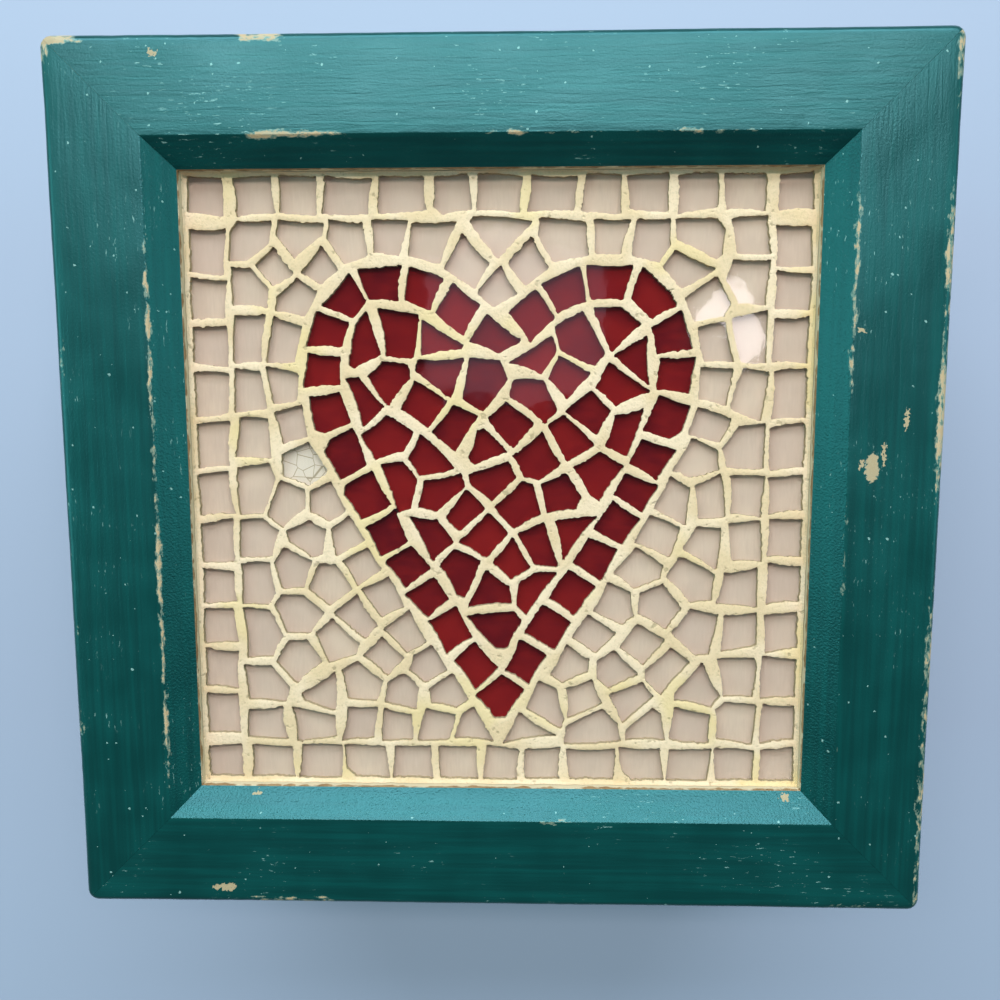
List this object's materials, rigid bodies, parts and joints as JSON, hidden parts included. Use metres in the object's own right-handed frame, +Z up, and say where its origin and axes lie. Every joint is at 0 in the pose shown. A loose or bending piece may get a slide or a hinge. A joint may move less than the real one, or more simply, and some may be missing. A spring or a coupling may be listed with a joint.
{
  "type": "mosaic keepsake box",
  "caption": "Square green-painted wooden box with a lift-off lid, whose moulded frame holds a glass tile mosaic of a red heart on beige.",
  "frame": {"origin": "middle of the underside of the box's walls, on the ground", "axes": "+Z up through the lid, -Y towards the front wall and the heart's tip, +X to the right as seen from the front"},
  "size_m": [0.16, 0.16, 0.0741],
  "materials": {
    "green_paint": "satin",
    "bare_wood": "matte",
    "beige_glass": "gloss",
    "red_glass": "gloss",
    "clear_glass": "gloss",
    "grout": "matte"
  },
  "bodies": {
    "root": {"lid_front_rail": "green_paint", "lid_right_rail": "green_paint", "lid_back_rail": "green_paint", "lid_left_rail": "green_paint", "lid_panel": "bare_wood", "beige_mosaic": "beige_glass", "red_heart_mosaic": "red_glass", "box_front_wall": "green_paint", "box_right_wall": "green_paint", "box_back_wall": "green_paint", "box_left_wall": "green_paint", "box_base": "bare_wood"}
  },
  "joints": []
}
